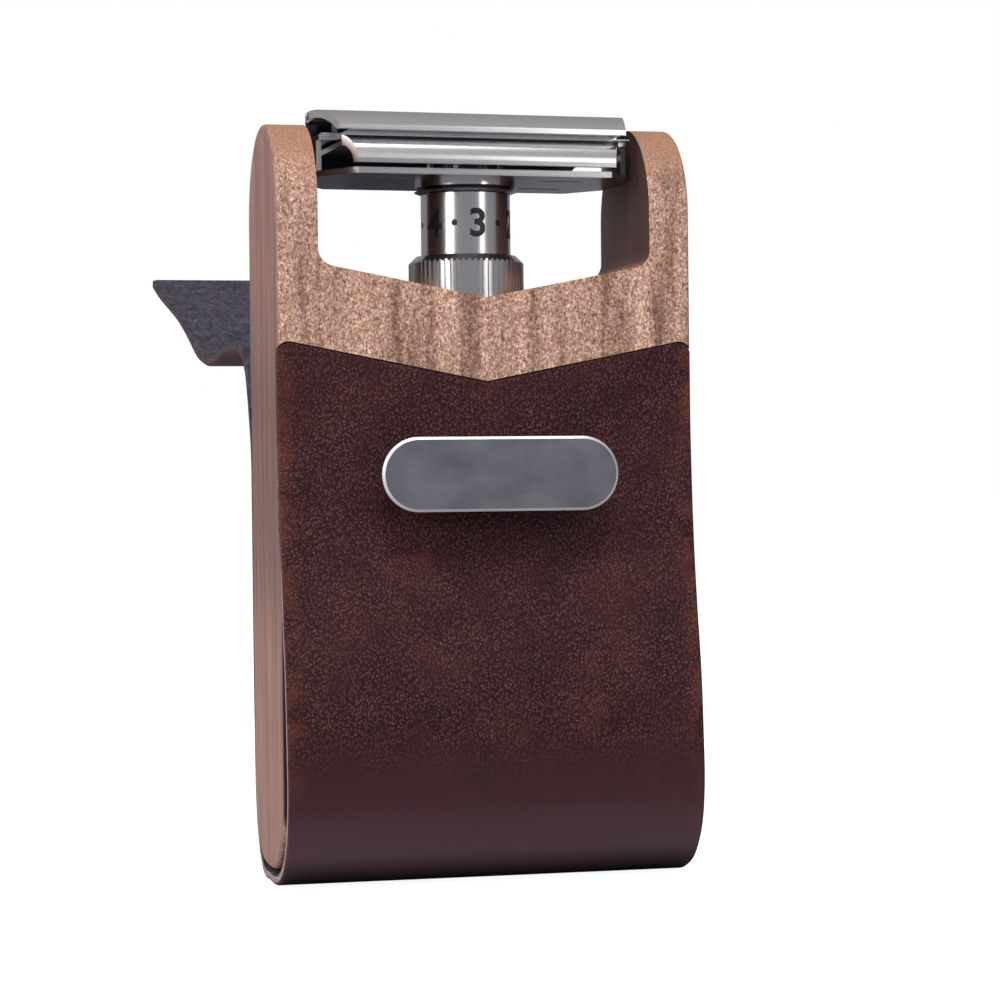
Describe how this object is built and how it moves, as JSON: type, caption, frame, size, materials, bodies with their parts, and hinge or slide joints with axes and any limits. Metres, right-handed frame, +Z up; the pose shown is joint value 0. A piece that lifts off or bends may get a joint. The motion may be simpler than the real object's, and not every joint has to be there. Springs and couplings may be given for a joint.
{
  "type": "safety razor travel case with leather strop flap",
  "caption": "Walnut travel case holding an adjustable twist-to-open safety razor, with a leather wrap whose long flap closes over the head and hooks on a turning bar.",
  "frame": {"origin": "on the surface that the case stands on, under the razor's axis, at the middle of the case's flat foot", "axes": "+X along the case's width to the right seen from the front, +Y to the back, where the open flap goes, +Z up the razor"},
  "size_m": [0.056, 0.1541, 0.1032],
  "materials": {
    "walnut": "oiled walnut with open pores",
    "leather": "pebbled oxblood leather, raw flesh side",
    "felt": "dense black felt",
    "brass": "turned",
    "bar_steel": "polished, lightly scuffed",
    "razor_steel": "satin stainless",
    "blade_steel": "bright blade steel",
    "dial_paint": "black paint fill in the dial's numbers"
  },
  "bodies": {
    "case": {"walnut_block": "walnut", "leather_wrap": "leather", "felt_pad": "felt", "clasp_bushing": "brass", "clasp_spacer": "bar_steel"},
    "flap_root": {"flap_root": "leather"},
    "flap_back": {"flap_back": "leather"},
    "flap_rear_shoulder": {"flap_rear_shoulder": "leather"},
    "flap_top": {"flap_top": "leather"},
    "flap_front_shoulder": {"flap_front_shoulder": "leather"},
    "flap_bend": {"flap_bend": "leather"},
    "flap_tab": {"flap_tab": "leather"},
    "clasp": {"clasp_bar": "bar_steel", "clasp_spindle": "bar_steel"},
    "razor": {"handle_tube": "razor_steel", "neck_collar": "razor_steel", "head_frame": "razor_steel", "blade_platform": "razor_steel", "razor_blade": "blade_steel", "front_door_pin": "razor_steel", "rear_door_pin": "razor_steel"},
    "dial": {"dial_barrel": "razor_steel", "knurled_ring": "razor_steel", "dial_cam": "brass"},
    "guard": {"guard_plate": "razor_steel", "guard_legs": "razor_steel"},
    "knob": {"twist_knob": "razor_steel"},
    "push_rod": {"push_rod": "razor_steel"},
    "front_door": {"front_door": "razor_steel"},
    "rear_door": {"rear_door": "razor_steel"}
  },
  "joints": [
    {"name": "flap_root_bend", "type": "hinge", "parent": "case", "child": "flap_root", "pos_m": [0, 0.0124, 0.058], "axis": [1, 0, 0], "range_deg": [0, 15.01]},
    {"name": "flap_close", "type": "hinge", "parent": "flap_root", "child": "flap_back", "pos_m": [0, 0.01787, 0.07089], "axis": [1, 0, 0], "range_deg": [0, 65]},
    {"name": "flap_rear_bend", "type": "hinge", "parent": "flap_back", "child": "flap_rear_shoulder", "pos_m": [0, 0.04373, 0.07361], "axis": [1, 0, 0], "range_deg": [0, 56.51]},
    {"name": "flap_top_bend", "type": "hinge", "parent": "flap_rear_shoulder", "child": "flap_top", "pos_m": [0, 0.05366, 0.07247], "axis": [1, 0, 0], "range_deg": [0, 39.01]},
    {"name": "flap_front_bend", "type": "hinge", "parent": "flap_top", "child": "flap_front_shoulder", "pos_m": [0, 0.07161, 0.07389], "axis": [1, 0, 0], "range_deg": [0, 29.51]},
    {"name": "flap_tip_bend", "type": "hinge", "parent": "flap_front_shoulder", "child": "flap_bend", "pos_m": [0, 0.08021, 0.07652], "axis": [1, 0, 0], "range_deg": [0, 29.01]},
    {"name": "tab_press", "type": "hinge", "parent": "flap_bend", "child": "flap_tab", "pos_m": [0, 0.08687, 0.07868], "axis": [1, 0, 0], "range_deg": [0, 25.3]},
    {"name": "clasp_turn", "type": "hinge", "parent": "case", "child": "clasp", "pos_m": [0, -0.0125, 0.0543], "axis": [0, -1, 0], "range_deg": [0, 90]},
    {"name": "razor_lift", "type": "slide", "parent": "case", "child": "razor", "axis": [0, 0, 1], "range_m": [0, 0.096]},
    {"name": "guard_drop", "type": "slide", "parent": "razor", "child": "guard", "axis": [0, 0, 1], "range_m": [-0.0003142, 0.0002094]},
    {"name": "dial_turn", "type": "hinge", "parent": "razor", "child": "dial", "pos_m": [0, 0, 0.08], "axis": [0, 0, 1], "range_deg": [-120.1, 180.1]},
    {"name": "rod_rise", "type": "slide", "parent": "razor", "child": "push_rod", "axis": [0, 0, 1], "range_m": [0, 0.002]},
    {"name": "knob_turn", "type": "hinge", "parent": "razor", "child": "knob", "pos_m": [0, 0, 0.02], "axis": [0, 0, 1], "range_deg": [0, 540.1]},
    {"name": "front_door_swing", "type": "hinge", "parent": "razor", "child": "front_door", "pos_m": [0.00004, -0.00085, 0.10235], "axis": [-0.9986, -0.0523, 0], "range_deg": [0, 80.1]},
    {"name": "rear_door_swing", "type": "hinge", "parent": "razor", "child": "rear_door", "pos_m": [-0.00004, 0.00085, 0.10235], "axis": [0.9986, 0.0523, 0], "range_deg": [0, 80.1]}
  ],
  "couplings": [
    {"joint": "flap_root_bend", "follows": "flap_close", "ratio": 0.23077},
    {"joint": "flap_rear_bend", "follows": "flap_close", "ratio": 0.86923},
    {"joint": "flap_top_bend", "follows": "flap_close", "ratio": 0.6},
    {"joint": "flap_front_bend", "follows": "flap_close", "ratio": 0.45385},
    {"joint": "flap_tip_bend", "follows": "flap_close", "ratio": 0.44615},
    {"joint": "dial_turn", "follows": "guard_drop", "rad_per_m": -10000},
    {"joint": "knob_turn", "follows": "rod_rise", "rad_per_m": 4712.4},
    {"joint": "front_door_swing", "follows": "rod_rise", "rad_per_m": 698.13},
    {"joint": "rear_door_swing", "follows": "rod_rise", "rad_per_m": 698.13}
  ]
}
